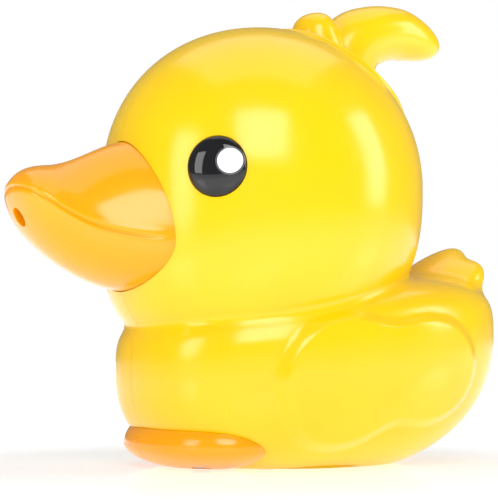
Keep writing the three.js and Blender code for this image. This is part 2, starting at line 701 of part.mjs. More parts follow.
addPiece("chute", makeChute(), material(WHITE, 0.4));
addPiece("tablet_well", makeWell(), material(WHITE, 0.4));
addPiece("tablet_basket", makeBasket(), material(GREY, 0.45));
addPiece("ballast_ring", makeBallast(), material(STEEL, 0.5, 1));
addPiece("vent_tube", makeVentTube(), material(SILICONE, 0.55));

addPiece("base_plate", makeBasePlate(), material(YELLOW, 0.2), base);
addPiece("vent_dial", makeDial(), material(ORANGE, 0.3), base);
addPiece("dial_screw", solid(screw(4.2, 1.1, 0.5, 1.6, 8.6)), material(STEEL, 0.35, 1), base);
addPiece("base_gasket", makeBaseGasket(), material(SILICONE, 0.6), base);
baseScrewPlaces().forEach(([x, y], i) => {
  const shape = solid(screw(2.9, 1.05, 0.6, 2.2, 11.5).translate(x - WELL_X, y, 0));
  addPiece(`base_screw_${i + 1}`, shape, material(STEEL, 0.35, 1), base);
});
SHELL_BOSSES.forEach((at, i) => {
  addPiece(`shell_screw_${i + 1}`, shellScrew(at), material(STEEL, 0.35, 1));
});

export default duck;
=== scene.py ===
"""Looks for the duck-shaped floating dispenser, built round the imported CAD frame."""
import json
import math

import bmesh
import bpy
import numpy as np
from mathutils import Matrix, Vector


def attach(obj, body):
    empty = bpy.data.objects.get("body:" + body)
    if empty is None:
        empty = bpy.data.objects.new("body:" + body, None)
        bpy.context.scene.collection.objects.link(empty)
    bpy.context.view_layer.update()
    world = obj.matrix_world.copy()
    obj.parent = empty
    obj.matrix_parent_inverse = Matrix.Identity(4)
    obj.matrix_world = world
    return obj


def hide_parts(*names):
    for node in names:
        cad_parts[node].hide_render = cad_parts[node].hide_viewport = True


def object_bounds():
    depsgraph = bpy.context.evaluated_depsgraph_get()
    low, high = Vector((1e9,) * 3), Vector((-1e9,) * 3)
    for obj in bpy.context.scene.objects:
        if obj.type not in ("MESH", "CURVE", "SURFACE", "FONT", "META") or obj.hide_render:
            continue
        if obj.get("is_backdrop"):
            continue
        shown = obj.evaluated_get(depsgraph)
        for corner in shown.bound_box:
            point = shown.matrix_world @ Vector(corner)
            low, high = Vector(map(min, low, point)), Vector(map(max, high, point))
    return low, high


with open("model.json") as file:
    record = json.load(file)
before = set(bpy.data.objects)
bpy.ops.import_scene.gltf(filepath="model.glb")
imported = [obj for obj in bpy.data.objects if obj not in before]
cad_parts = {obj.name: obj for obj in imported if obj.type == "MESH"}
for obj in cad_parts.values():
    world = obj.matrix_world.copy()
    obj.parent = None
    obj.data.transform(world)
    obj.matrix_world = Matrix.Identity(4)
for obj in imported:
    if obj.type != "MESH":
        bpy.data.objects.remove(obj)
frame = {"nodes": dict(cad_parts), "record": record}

cad_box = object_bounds()

MM = 0.001
TINY = 1e-9
FAR = 200.0  # further than any part of the duck reaches from its middle, in mm
joints = {joint["name"]: joint for joint in frame["record"]["behaviour"]["joints"]}
head_x, _, head_z = [value / MM for value in joints["lid_turn"]["pos_m"]]
lid_axis = Vector(joints["lid_turn"]["axis"]).normalized()
well_x = joints["dial_turn"]["pos_m"][0] / MM - head_x

# ---- the design's dimensions, in mm from the head's vertical axis ---------------------------
WALL = 2.5
GAP = 0.3
SEAM = 0.12  # what shows between the two half shells
BEAK_SEAM = 0.22

HEAD_R = 56.5
HEAD_Z = head_z
CHEEK = 3.0
CHEEK_SLOPE = 0.875
CHEEK_CURVE = 0.325
FOREHEAD = 0.17

BODY_X = 18.3
BODY_HALF = {"x": 68.8, "y": 52.5, "up": 24.0}
BODY_MID_Z = 40.0
BODY_RISE = 0.1
BODY_KEEL = 4.0
BODY_ROUND = {"plan": 2.3, "up": 3.3, "down": 2.45, "down_slope": 0.3}

WING_PROUD = 2.3
WING_SHOULDER = 4.5  # width of the rounded step round the wing
WING_REAR = (38, 70)  # x over which the wing's rise halves
WING_FLANK = (12, 30)  # y over which the rise grows from the back outwards
WING_EDGE = [(-17, 41), (-2, 51), (17, 53.5), (40, 50.5), (57, 46.5), (63, 38), (56, 25),
             (40, 13), (12, 6.5), (-11, 12), (-24, 27)]
WING_MIDDLE = (20.0, 31.0)

SKIN_VOXEL = {"quick": 1.8, "full": 1.05}
CREST_VOXEL = {"quick": 0.8, "full": 0.5}
NECK_FILLET = 3.6
TAIL_FILLET = 5.0
FEATHER_FILLET = 9.0

# (root, tip, half width, half thickness) of each tail feather
FEATHERS = [((50, 0, 44), (84.5, 0, 77), 12.5, 8),
            ((50, -8, 40), (83, -15, 71), 12, 8),
            ((50, 8, 40), (83, 15, 71), 12, 8)]

BEAK = {"root_x": -46.0, "tip_x": -93.8, "wall": 2.2, "flange": 3.0, "back_x": -36.0,
        "cavity_back_x": -30.0, "flange_thick": 2.0}
BILL_WIDTH = (31.0, 18.5)  # half width at the root and at the tip
BILL_MOUTH = (76.0, 17.0)  # height at the root and the rise towards the tip
BILL_TOP = (101.0, 9.5)
BILL_BOTTOM = (59.0, 24.0)
# (depth, middle height, half height) of the mouth line and of the lips above and below it
LIPS = [(-0.65, 0.0, 0.5), (0.28, 1.6, 1.4), (0.24, -1.8, 1.5)]
NOZZLE = {"x": -91.8, "z": 82.5, "pitch": 30.0, "bore": 3.5, "outer": 5.2, "depth": 9.0}
MOUTH_CROWD = 0.72  # how closely the bill's vertices gather at the mouth line

LID_R = 30.0
LID_PROUD = 1.0
SKIRT = {"outer": 26.6, "inner": 24.6, "low": 37.0}
COLLAR_LOW = 28.0
LUG = {"outer": 28.1, "low": 37.2, "high": 39.6, "half_angle": 8.0, "count": 3}
LID_SEAT_Z = 45.2
LID_EDGE = 0.7  # rounding of the lid's rim
LID_WALL = 2.8
CREST_SCREWS = (-9.0, 8.0)
CREST_BORE = {"lid": 1.7, "crest": 1.5}
# (x, z, half thickness, half width) along each lobe of the crest
CREST_FRONT = [(31, 132, 9, 9), (27, 142, 10, 10), (22.5, 150, 9, 10.5), (20.8, 161.3, 6.5, 8.5)]
CREST_REAR = [(31, 124, 12, 9), (33, 142, 12.5, 11), (37.5, 151, 11.9, 11.5),
              (45, 155, 10.9, 11.5), (53, 156.6, 9.9, 11), (60.5, 156, 9.1, 10), (75, 152, 6.5, 8)]

BASE = {"r": 30.0, "thick": 3.5, "opening": 23.6, "screw_r": 26.7, "pad_r": 34.0, "pad_top": 6.3,
        "screw_bore": 1.9, "screw_top": 12.0, "screw_angles": (45, 135, 225, 315)}

EYE_R = 9.9
EYE_HEADING = 46.0
EYE_Z = 98.8
EYE_SHANK = {"bore": 3.6, "in": 40.0, "out": 70.0}
EYE_SEAT = {"depth": 1.3, "clearance": 0.15}
EYE_PROUD = 2.4
DOT = {"r": 4.1, "back": 5.0, "up": 1.4}
DOT_REFLECTION_RING = (0.25, 0.55)  # the grey ring's inner and outer distance from the dot's edge; the ring is painted reflection, light caught at the printed dot's raised edge

FOOT = {"x": -24.0, "z": 8.0, "half": (24.0, 36.0), "up": 14.0, "down": 9.0}
FOOT_SCREW = {"x": -31.5, "y": 15.0, "head": 3.2, "head_top": 2.6, "clearance": 1.9}
FOOT_BOSS = {"r": 4.0, "low": 3.0, "high": 12.4, "pilot": 1.4, "pilot_top": 11.7}
SHELL_BOSSES = [(-37, 28), (66, 40), (43, 84), (-38, 126), (-31, 62)]  # (x, z)
BOSS_R = 4.5
# (radius, from y, to y) of the screw bores in each half's bosses
BOSS_BORES = {"left": [(1.3, -11, 1)], "right": [(3.6, 6, 90), (1.7, -1, 8)]}


# ---- mesh helpers: everything is made in mm and set to metres at the end --------------------
def make_mesh(vertices, faces, name="shape"):
    mesh = bpy.data.meshes.new(name)
    mesh.from_pydata([tuple(map(float, v)) for v in vertices], [], faces)
    mesh.validate()
    return mesh


def as_object(mesh, name="scratch"):
    obj = bpy.data.objects.new(name, mesh)
    bpy.context.scene.collection.objects.link(obj)
    return obj


def wrapped(point, around, along):
    """A closed surface: point(u, v) goes round in u and comes together at v = 0 and 1."""
    u = np.arange(around) / around
    v = np.arange(1, along) / along
    grid_u, grid_v = np.meshgrid(u, v)
    body = point(grid_u.ravel(), grid_v.ravel())
    ends = point(np.zeros(2), np.array([0.0, 1.0]))
    vertices = np.vstack([body, ends])
    first, last = len(body), len(body) + 1
    bottom = (along - 2) * around
    faces = []
    for i in range(around):
        j = (i + 1) % around
        faces.append((first, j, i))
        faces.append((last, bottom + i, bottom + j))
        for row in range(along - 2):
            a = row * around
            b = a + around
            faces.append((a + i, a + j, b + j, b + i))
    return outward(make_mesh(vertices, faces))


def outward(mesh):
    work = bmesh.new()
    work.from_mesh(mesh)
    bmesh.ops.recalc_face_normals(work, faces=work.faces)
    if work.calc_volume(signed=True) < 0:
        bmesh.ops.reverse_faces(work, faces=work.faces)
    work.to_mesh(mesh)
    work.free()
    return mesh


def turned(corners, segments=96):
    """A solid turned round Z from (radius, height) corners, closed on the axis or on itself."""
    rings = []
    vertices = []
    for radius, height in corners:
        if radius < TINY:
            rings.append([len(vertices)] * segments)
            vertices.append((0.0, 0.0, height))
            continue
        start = len(vertices)
        for i in range(segments):
            angle = 2 * math.pi * i / segments
            vertices.append((radius * math.cos(angle), radius * math.sin(angle), height))
        rings.append(list(range(start, start + segments)))
    pairs = list(zip(rings, rings[1:]))
    if corners[0][0] > TINY or corners[-1][0] > TINY:
        pairs.append((rings[-1], rings[0]))
    faces = []
    for low, high in pairs:
        for i in range(segments):
            j = (i + 1) % segments
            face = []
            for index in (low[i], low[j], high[j], high[i]):
                if index not in face:
                    face.append(index)
            if len(face) > 2:
                faces.append(tuple(face))
    return outward(make_mesh(vertices, faces))


def rod(radius, low, high, segments=48):
    return turned([(0, low), (radius, low), (radius, high), (0, high)], segments)


def block(x0, x1, y0, y1, z0, z1):
    corners = [(x, y, z) for x in (x0, x1) for y in (y0, y1) for z in (z0, z1)]
    faces = [(0, 1, 3, 2), (4, 6, 7, 5), (0, 4, 5, 1), (2, 3, 7, 6), (0, 2, 6, 4), (1, 5, 7, 3)]
    return outward(make_mesh(corners, faces))


def moved(mesh, matrix):
    mesh.transform(matrix)
    return mesh


def shifted(mesh, x=0.0, y=0.0, z=0.0):
    return moved(mesh, Matrix.Translation((x, y, z)))


def cross_rod(radius, x, z, from_y, to_y):
    along = rod(radius, from_y, to_y, 24)
    return shifted(moved(along, Matrix.Rotation(-math.pi / 2, 4, "X")), x, 0, z)


def arc_corners(sphere_r, from_r, to_r, steps):
    start, end = math.asin(from_r / sphere_r), math.asin(to_r / sphere_r)
    angles = [start + (end - start) * i / steps for i in range(steps + 1)]
    return [(sphere_r * math.sin(a), sphere_r * math.cos(a)) for a in angles]


def evaluated(obj):
    depsgraph = bpy.context.evaluated_depsgraph_get()
    return bpy.data.meshes.new_from_object(obj.evaluated_get(depsgraph))


def discard(obj):
    mesh = obj.data
    bpy.data.objects.remove(obj)
    if mesh.users == 0:
        bpy.data.meshes.remove(mesh)


def combined(mesh, tools, operation):
    for tool in tools:
        base, other = as_object(mesh), as_object(tool)
        modifier = base.modifiers.new("cut", "BOOLEAN")
        modifier.operation = operation
        modifier.solver = "MANIFOLD"
        modifier.object = other
        mesh = evaluated(base)
        discard(base)
        discard(other)
    return mesh


def cut(mesh, *tools):
    return combined(mesh, tools, "DIFFERENCE")


def joined(mesh, *tools):
    return combined(mesh, tools, "UNION")


def kept(mesh, tool):
    return combined(mesh, [tool], "INTERSECT")


def remeshed(meshes, voxel, smooth_steps=0):
    """One even skin round several overlapping closed meshes."""
    work = bmesh.new()
    for mesh in meshes:
        work.from_mesh(mesh)
    both = bpy.data.meshes.new("both")
    work.to_mesh(both)
    work.free()
    obj = as_object(both)
    modifier = obj.modifiers.new("skin", "REMESH")
    modifier.mode = "VOXEL"
    modifier.voxel_size = voxel
    if smooth_steps:
        smooth = obj.modifiers.new("smooth", "SMOOTH")
        smooth.factor = 0.5
        smooth.iterations = smooth_steps
    mesh = evaluated(obj)
    discard(obj)
    return mesh


# ---- the duck's outer form, as fields that are negative inside ------------------------------
def smoothstep(value, low, high):
    t = np.clip((value - low) / (high - low), 0, 1)
    return t * t * (3 - 2 * t)


def soft_min(a, b, fillet):
    """The union of two fields, with a fillet where they meet."""
    overlap = np.maximum(fillet - np.abs(a - b), 0) / fillet
    return np.minimum(a, b) - overlap * overlap * fillet / 4


def head_reach(forward, across, up, below, offset):
    """The head's radius in a direction: a sphere, squarer at the cheeks and the forehead."""
    lower = CHEEK + CHEEK_SLOPE * forward + CHEEK_CURVE * forward ** 2
    upper = 2 + FOREHEAD * ((1 + forward) / 2) ** 2
    n = np.where(below, lower, upper)
    return (HEAD_R + offset) * (across ** n + up ** n) ** (-1 / n)


def head_field(p, offset=0.0):
    x, y, z = p[:, 0], p[:, 1], p[:, 2] - HEAD_Z
    level = np.hypot(x, y) + TINY
    reach = np.sqrt(level ** 2 + z ** 2) + TINY
    return reach - head_reach(-x / level, level / reach, np.abs(z) / reach, z < 0, offset)


def head_mesh(offset, around=96, along=48):
    def point(u, v):
        heading, pitch = 2 * np.pi * u, np.pi * (0.5 - v)
        across, up = np.abs(np.cos(pitch)), np.abs(np.sin(pitch))
        reach = head_reach(-np.cos(heading), across, up, pitch < 0, offset)
        flat = reach * across
        return np.stack([flat * np.cos(heading), flat * np.sin(heading),
                         HEAD_Z + reach * np.sin(pitch)], axis=1)
    return wrapped(point, around, along)


def body_shape(u, v, w, heading_cosine):
    """A rounded box's size at a direction, where 1 is on its surface."""
    ring = (np.abs(u) ** BODY_ROUND["plan"] + np.abs(v) ** BODY_ROUND["plan"])
    ring = ring ** (1 / BODY_ROUND["plan"])
    lower = BODY_ROUND["down"] - BODY_ROUND["down_slope"] * heading_cosine
    n = np.where(w < 0, lower, BODY_ROUND["up"])
    return (ring ** n + np.abs(w) ** n) ** (1 / n)


def body_field(p, offset=0.0):
    x, y, z = p[:, 0] - BODY_X, p[:, 1], p[:, 2]
    middle = BODY_MID_Z + BODY_RISE * x
    depth = np.where(z < middle, middle + BODY_KEEL, BODY_HALF["up"]) + offset
    u, v = x / (BODY_HALF["x"] + offset), y / (BODY_HALF["y"] + offset)
    w = (z - middle) / depth
    cosine = u / (np.hypot(u, v) + TINY)
    scale = body_shape(u, v, w, cosine) + TINY
    reach = np.sqrt(x ** 2 + y ** 2 + (z - middle) ** 2)
    return reach * (1 - 1 / scale)


def body_mesh(offset, around=96, along=48):
    def point(u, v):
        heading, pitch = 2 * np.pi * u, np.pi * (0.5 - v)
        flat, rise = np.cos(pitch), np.sin(pitch)
        a, b = flat * np.cos(heading), flat * np.sin(heading)
        scale = 1 / body_shape(a, b, rise, np.cos(heading))
        x = (BODY_HALF["x"] + offset) * scale * a
        y = (BODY_HALF["y"] + offset) * scale * b
        middle = BODY_MID_Z + BODY_RISE * x
        depth = np.where(rise < 0, middle + BODY_KEEL, BODY_HALF["up"]) + offset
        return np.stack([BODY_X + x, y, middle + depth * scale * rise], axis=1)
    return wrapped(point, around, along)


def feather_frame(root, tip, width, thickness):
    root, tip = Vector(root), Vector(tip)
    turn = Vector((0, 0, 1)).rotation_difference(tip - root).to_matrix().to_4x4()
    half = Vector((thickness, width, (tip - root).length / 2))
    return Matrix.Translation((root + tip) / 2) @ turn, half


def feather_field(p, row):
    matrix, half = feather_frame(*row)
    inverse = np.array(matrix.inverted())
    local = p @ inverse[:3, :3].T + inverse[:3, 3]
    half = np.array(half)
    near = np.linalg.norm(local / half, axis=1) + TINY
    steep = np.linalg.norm(local / half ** 2, axis=1) + TINY
    return near * (near - 1) / steep


def feather_mesh(row):
    matrix, half = feather_frame(*row)

    def point(u, v):
        heading, pitch = 2 * np.pi * u, np.pi * (0.5 - v)
        flat = np.cos(pitch)
        return np.stack([half[0] * flat * np.cos(heading), half[1] * flat * np.sin(heading),
                         half[2] * np.sin(pitch)], axis=1)
    return moved(wrapped(point, 32, 20), matrix)


def wing_outline():
    """Fourier terms of the wing's edge radius about its middle."""
    points = np.array(WING_EDGE, float) - WING_MIDDLE
    angle, radius = np.arctan2(points[:, 1], points[:, 0]), np.hypot(points[:, 0], points[:, 1])
    return np.linalg.lstsq(fourier(angle), radius, rcond=None)[0]


def fourier(angle, order=3):
    columns = [np.ones_like(angle)]
    for k in range(1, order + 1):
        columns += [np.cos(k * angle), np.sin(k * angle)]
    return np.stack(columns, axis=1)


WING_TERMS = wing_outline()


def wing_rise(p):
    """How far the raised wing lifts the body's skin."""
    x, z = p[:, 0] - WING_MIDDLE[0], p[:, 2] - WING_MIDDLE[1]
    angle, radius = np.arctan2(z, x), np.hypot(x, z)
    step = 0.01
    edge = fourier(angle) @ WING_TERMS
    slope = (fourier(angle + step) @ WING_TERMS - edge) / (step * edge)
    inside = (edge - radius) / np.sqrt(1 + slope ** 2)
    height = WING_PROUD * (1 - 0.5 * smoothstep(p[:, 0], *WING_REAR))
    return height * smoothstep(inside, 0, WING_SHOULDER) * smoothstep(np.abs(p[:, 1]), *WING_FLANK)


def skin_field(p):
    body = body_field(p) - wing_rise(p)
    tail = None
    for row in FEATHERS:
        field = feather_field(p, row)
        tail = field if tail is None else soft_min(tail, field, FEATHER_FILLET)
    body = soft_min(body, tail, TAIL_FILLET)
    return soft_min(body, head_field(p), NECK_FILLET)


def gradient(field, p, step=0.02):
    """The field's value and slope at every point."""
    here = field(p)
    slopes = []
    for axis in range(3):
        ahead = p.copy()
        ahead[:, axis] += step
        slopes.append((field(ahead) - here) / step)
    return here, np.stack(slopes, axis=1)


def coordinates(mesh):
    flat = np.empty(len(mesh.vertices) * 3)
    mesh.vertices.foreach_get("co", flat)
    return flat.reshape(-1, 3)


def settle(mesh, field, rounds=5):
    """Moves every vertex onto the field's zero surface."""
    p = coordinates(mesh)
    for _ in range(rounds):
        value, slope = gradient(field, p)
        size = np.maximum((slope ** 2).sum(axis=1), 0.2)
        move = slope * np.clip(value / size, -1.0, 1.0)[:, None]
        p = p - move
    mesh.vertices.foreach_set("co", p.ravel())
    mesh.update()
    return mesh


def follow_field(mesh, field, near=0.06):
    """Shades the skin by the field's own slope, so that highlights run smoothly over cuts."""
    p = coordinates(mesh)
    value, slope = gradient(field, p)
    slope /= np.linalg.norm(slope, axis=1, keepdims=True) + TINY
    on_skin = np.abs(value) < near
    corner_vertex = np.empty(len(mesh.loops), int)
    mesh.loops.foreach_get("vertex_index", corner_vertex)
    corner_normal = np.empty(len(mesh.loops) * 3)
    mesh.corner_normals.foreach_get("vector", corner_normal)
    corner_normal = corner_normal.reshape(-1, 3)
    face_normal = np.empty(len(mesh.polygons) * 3)
    mesh.polygons.foreach_get("normal", face_normal)
    sizes = np.empty(len(mesh.polygons), int)
    mesh.polygons.foreach_get("loop_total", sizes)
    face_of_corner = np.repeat(np.arange(len(mesh.polygons)), sizes)
    facing = (face_normal.reshape(-1, 3)[face_of_corner] * slope[corner_vertex]).sum(axis=1)
    skin = on_skin[corner_vertex] & (facing > 0.75)
    corner_normal[skin] = slope[corner_vertex][skin]
    mesh.normals_split_custom_set(corner_normal.tolist())
    return mesh


def shaded(mesh, angle=32):
    mesh.shade_smooth()
    mesh.set_sharp_from_angle(angle=math.radians(angle))
    return mesh


# ---- materials ------------------------------------------------------------------------------
def node_material(name):
    mat = bpy.data.materials.new(name)
    mat.use_nodes = True
    nodes, links = mat.node_tree.nodes, mat.node_tree.links
    nodes.clear()
    output = nodes.new("ShaderNodeOutputMaterial")
    shader = nodes.new("ShaderNodeBsdfPrincipled")
    links.new(shader.outputs["BSDF"], output.inputs["Surface"])
    return mat, nodes, links, shader


def object_noise(nodes, links, scale, detail=2.0):
    place = nodes.new("ShaderNodeTexCoord")
    noise = nodes.new("ShaderNodeTexNoise")
    noise.inputs["Scale"].default_value = scale
    noise.inputs["Detail"].default_value = detail
    links.new(place.outputs["Object"], noise.inputs["Vector"])
    return noise


def ramp_between(nodes, links, source, low, high, start=0.3, end=0.7):
    ramp = nodes.new("ShaderNodeValToRGB")
    ramp.color_ramp.elements[0].position = start
    ramp.color_ramp.elements[1].position = end
    ramp.color_ramp.elements[0].color = (*low, 1)
    ramp.color_ramp.elements[1].color = (*high, 1)
    links.new(source, ramp.inputs["Fac"])
    return ramp


def range_between(nodes, links, source, low, high):
    span = nodes.new("ShaderNodeMapRange")
    span.inputs["From Min"].default_value = 0.3
    span.inputs["From Max"].default_value = 0.7
    span.inputs["To Min"].default_value = low
    span.inputs["To Max"].default_value = high
    links.new(source, span.inputs["Value"])
    return span


def add_bump(nodes, links, shader, source, distance, strength=0.3):
    bump = nodes.new("ShaderNodeBump")
    bump.inputs["Distance"].default_value = distance
    bump.inputs["Strength"].default_value = strength
    links.new(source, bump.inputs["Height"])
    links.new(bump.outputs["Normal"], shader.inputs["Normal"])


def plastic(name, low, high, rough=(0.1, 0.16), grain=2.0e-5, coat=0.0, scatter=0.0,
            scatter_radius=(0.008, 0.005, 0.001)):
    """Moulded plastic: slow colour drift, uneven polish and a trace of flow ripple."""
    mat, nodes, links, shader = node_material(name)
    drift = object_noise(nodes, links, 28.0)
    colour = ramp_between(nodes, links, drift.outputs["Fac"], low, high)
    links.new(colour.outputs["Color"], shader.inputs["Base Color"])
    polish = object_noise(nodes, links, 90.0, 3.0)
    rough_range = range_between(nodes, links, polish.outputs["Fac"], *rough)
    links.new(rough_range.outputs["Result"], shader.inputs["Roughness"])
    ripple = object_noise(nodes, links, 260.0, 2.0)
    add_bump(nodes, links, shader, ripple.outputs["Fac"], grain)
    shader.inputs["IOR"].default_value = 1.5
    shader.inputs["Coat Weight"].default_value = coat
    shader.inputs["Coat Roughness"].default_value = 0.04
    if scatter:
        shader.inputs["Subsurface Weight"].default_value = scatter
        shader.inputs["Subsurface Radius"].default_value = scatter_radius
        shader.inputs["Subsurface Scale"].default_value = 1.0
    return mat


def metal(name, low, high, rough):
    mat, nodes, links, shader = node_material(name)
    drift = object_noise(nodes, links, 120.0, 4.0)
    colour = ramp_between(nodes, links, drift.outputs["Fac"], low, high)
    links.new(colour.outputs["Color"], shader.inputs["Base Color"])
    polish = range_between(nodes, links, drift.outputs["Fac"], *rough)
    links.new(polish.outputs["Result"], shader.inputs["Roughness"])
    shader.inputs["Metallic"].default_value = 1.0
    scratches = object_noise(nodes, links, 900.0, 2.0)
    add_bump(nodes, links, shader, scratches.outputs["Fac"], 1.0e-5)
    return mat


MATERIALS = {
    "shell_yellow": plastic("glossy_yellow", (0.91, 0.56, 0.001), (0.93, 0.59, 0.002),
                            rough=(0.17, 0.24), scatter=0.12),
    "trim_orange": plastic("glossy_orange", (0.96, 0.36, 0.0), (0.97, 0.39, 0.001),
                           rough=(0.14, 0.21), scatter=0.12, scatter_radius=(0.008, 0.003, 0.001)),
    "eye_black": plastic("glossy_black", (0.006, 0.006, 0.007), (0.010, 0.010, 0.012),
                         rough=(0.03, 0.06)),
    "inner_white": plastic("satin_white", (0.80, 0.80, 0.77), (0.86, 0.86, 0.83),
                           rough=(0.35, 0.48), grain=6.0e-5),
    "basket_grey": plastic("satin_grey", (0.12, 0.14, 0.16), (0.16, 0.18, 0.20),
                           rough=(0.38, 0.5), grain=6.0e-5),
    "silicone": plastic("silicone", (0.66, 0.70, 0.72), (0.74, 0.78, 0.80),
                        rough=(0.45, 0.6), grain=3.0e-5),
    "steel": metal("stainless_steel", (0.55, 0.56, 0.57), (0.68, 0.69, 0.70), (0.22, 0.34)),
    "ballast_iron": metal("coated_iron", (0.05, 0.05, 0.055), (0.09, 0.09, 0.10), (0.45, 0.6)),
}


def finish_cad_nodes():
    for part in frame["record"]["subparts"]:
        obj = frame["nodes"][part["node"]]
        mat = MATERIALS[part["material_slot"]]
        if not obj.material_slots:
            obj.data.materials.append(mat)
        for slot in obj.material_slots:
            slot.material = mat


def add_piece(name, mesh, body, slot, *nodes, mat=None, matrix=None):
    """Puts a finished mesh, made in mm in the duck's frame, into the scene as a piece."""
    if matrix is not None:
        mesh.transform(matrix)
    mesh.transform(Matrix.Scale(MM, 4) @ Matrix.Translation((head_x, 0, 0)))
    mesh.name = name
    mesh.materials.clear()
    mesh.materials.append(mat or MATERIALS[slot])
    obj = as_object(mesh, name)
    if nodes:
        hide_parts(*nodes)
    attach(obj, body)
    return obj


# ---- frames of the tilted parts -------------------------------------------------------------
def filler_frame():
    turn = Vector((0, 0, 1)).rotation_difference(lid_axis).to_matrix().to_4x4()
    return Matrix.Translation((0, 0, HEAD_Z)) @ turn


def eye_frame(side):
    """Z points out of the eye, X towards the back of the head and Y up."""
    pitch = math.asin((EYE_Z - HEAD_Z) / HEAD_R)
    heading = math.radians(180 - side * EYE_HEADING)
    out = Vector((math.cos(pitch) * math.cos(heading), math.cos(pitch) * math.sin(heading),
                  math.sin(pitch)))
    back = Vector((-math.sin(heading), math.cos(heading), 0)) * -side
    up = out.cross(back) if side < 0 else back.cross(out)
    up = up if up.z > 0 else -up
    turn = Matrix((back, up, out)).transposed().to_4x4()
    return Matrix.Translation((0, 0, HEAD_Z)) @ turn


def nozzle_frame():
    pitch = math.radians(NOZZLE["pitch"])
    out = Vector((-math.cos(pitch), 0, -math.sin(pitch)))
    turn = Vector((0, 0, 1)).rotation_difference(out).to_matrix().to_4x4()
    return Matrix.Translation((NOZZLE["x"], 0, NOZZLE["z"])) @ turn


# ---- beak -----------------------------------------------------------------------------------
def bill_section(q, offset):
    tip_width = np.sqrt(np.maximum(0, 1 - q ** 10))
    tip_height = np.sqrt(np.maximum(0, 1 - q ** 12))
    width = BILL_WIDTH[0] + (BILL_WIDTH[1] - BILL_WIDTH[0]) * smoothstep(q, -0.2, 0.75)
    mouth = BILL_MOUTH[0] + BILL_MOUTH[1] * q ** 2.3
    top = BILL_TOP[0] + BILL_TOP[1] * (1 - smoothstep(q, 0.1, 0.75))
    bottom = BILL_BOTTOM[0] + BILL_BOTTOM[1] * q ** 2.1
    up = (top - mouth) * tip_height + offset
    down = (mouth - bottom) * tip_height + offset
    return np.maximum(0, width * tip_width + offset), mouth, np.maximum(0, up), np.maximum(0, down)


def lip_relief(height, q):
    """The mouth line: a groove between two soft lips, fading out towards the head."""
    relief = sum(depth * np.exp(-((height - middle) / half) ** 2) for depth, middle, half in LIPS)
    return smoothstep(q, 0.06, 0.3) * relief


def bill_mesh(offset, back_x, around=64, along=40, shaped=False):
    tip_x = BEAK["tip_x"] - offset
    crowd = MOUTH_CROWD if shaped else 0.0

    def point(u, v):
        station = np.clip((v * along - 1) / (along - 2), 0, 1)
        x = back_x + (tip_x - back_x) * np.sin(station * np.pi / 2)
        q = np.clip((x - BEAK["root_x"]) / (tip_x - BEAK["root_x"]), 0, 1)
        width, mouth, up, down = bill_section(q, offset)
        closed = (v <= 0) | (v >= 1)
        angle = -(2 * np.pi * u - crowd * np.sin(4 * np.pi * u) / 2)
        cosine, sine = np.cos(angle), np.sin(angle)
        reach = np.where(sine > 0, up, down)
        if shaped:
            flare = np.where(sine > 0, 2 - 0.35 * smoothstep(q, 0.05, 0.6), 2.0)
            length = (np.abs(cosine) ** flare + np.abs(sine) ** flare) ** (-1 / flare)
            swell = lip_relief(reach * sine, q)
            y = (width * length + swell * np.minimum(1, width / 6)) * cosine
            x = np.where(closed, x, x - swell * smoothstep(q, 0.9, 1.0) * 0.8)
            z = mouth + reach * length * sine
        else:
            y = width * cosine
            z = mouth + reach * sine
        return np.stack([x, np.where(closed, 0, y), np.where(closed, mouth, z)], axis=1)
    return wrapped(point, around, along)


def make_beak():
    behind_skin = head_mesh(-WALL - GAP)
    inner_face = head_mesh(-WALL - GAP - BEAK["flange_thick"])
    flange = kept(bill_mesh(BEAK["flange"], BEAK["back_x"]), behind_skin)
    outside = bill_mesh(0, BEAK["back_x"], 288, 150, shaped=True)
    boss = kept(moved(rod(NOZZLE["outer"], -NOZZLE["depth"], 3), nozzle_frame()),
                bill_mesh(-0.4, BEAK["back_x"]))
    bore = moved(rod(NOZZLE["bore"], -NOZZLE["depth"] - 4, 12, 64), nozzle_frame())
    shell = cut(joined(outside, flange), inner_face, bill_mesh(-BEAK["wall"], BEAK["cavity_back_x"]))
    shell = cut(joined(shell, boss), bore)
    add_piece("beak_bill", shaded(shell, 40), "hull", "trim_orange", "beak")


# ---- half shells ----------------------------------------------------------------------------
def base_screw_places():
    """(x, y) of each screw round the base plate."""
    for angle in map(math.radians, BASE["screw_angles"]):
        yield well_x + BASE["screw_r"] * math.cos(angle), BASE["screw_r"] * math.sin(angle)


def outer_skin():
    """The duck's whole skin: a rough one from its parts, then settled on the field."""
    parts = [head_mesh(0), body_mesh(1.0), *map(feather_mesh, FEATHERS)]
    rough = remeshed(parts, SKIN_VOXEL["full"])
    return settle(rough, skin_field, 7)


def shell_cavity():
    """The hollow of both half shells, less the base pad and the screw bosses."""
    cavity = joined(head_mesh(-WALL), body_mesh(-WALL))
    cavity = cut(cavity, shifted(rod(BASE["pad_r"], -5, BASE["pad_top"]), well_x))
    stay = [cross_rod(BOSS_R, x, z, -80, 80) for x, z in SHELL_BOSSES]
    for side in (-1, 1):
        boss = rod(FOOT_BOSS["r"], FOOT_BOSS["low"], FOOT_BOSS["high"], 24)
        stay.append(shifted(boss, FOOT_SCREW["x"], side * FOOT_SCREW["y"]))
    return cut(cavity, *stay)


